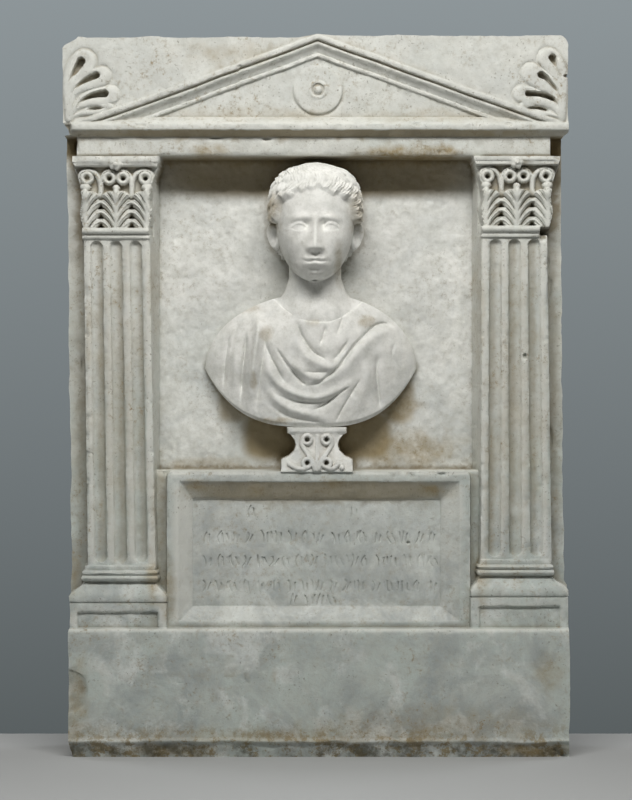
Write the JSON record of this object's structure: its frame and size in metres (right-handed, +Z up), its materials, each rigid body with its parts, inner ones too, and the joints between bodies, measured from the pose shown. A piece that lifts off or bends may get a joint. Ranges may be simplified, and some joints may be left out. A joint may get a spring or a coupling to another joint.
{
  "type": "marble grave relief",
  "caption": "Upright marble grave relief: pedimented niche with fluted pilasters, a draped bust on a scrolled foot, a framed inscription panel and a plain plinth.",
  "frame": {"origin": "on the underside, below the middle of the bounding box", "axes": "+Z up, +X to the viewer's right, the carved front faces -Y and the flat back faces +Y"},
  "size_m": [0.608, 0.15, 0.866],
  "materials": {
    "marble": "weathered fine-grained white marble, cream above and grey-clouded below, with brown soil in the hollows"
  },
  "bodies": {
    "root": {"grave_relief": "marble"}
  },
  "joints": []
}
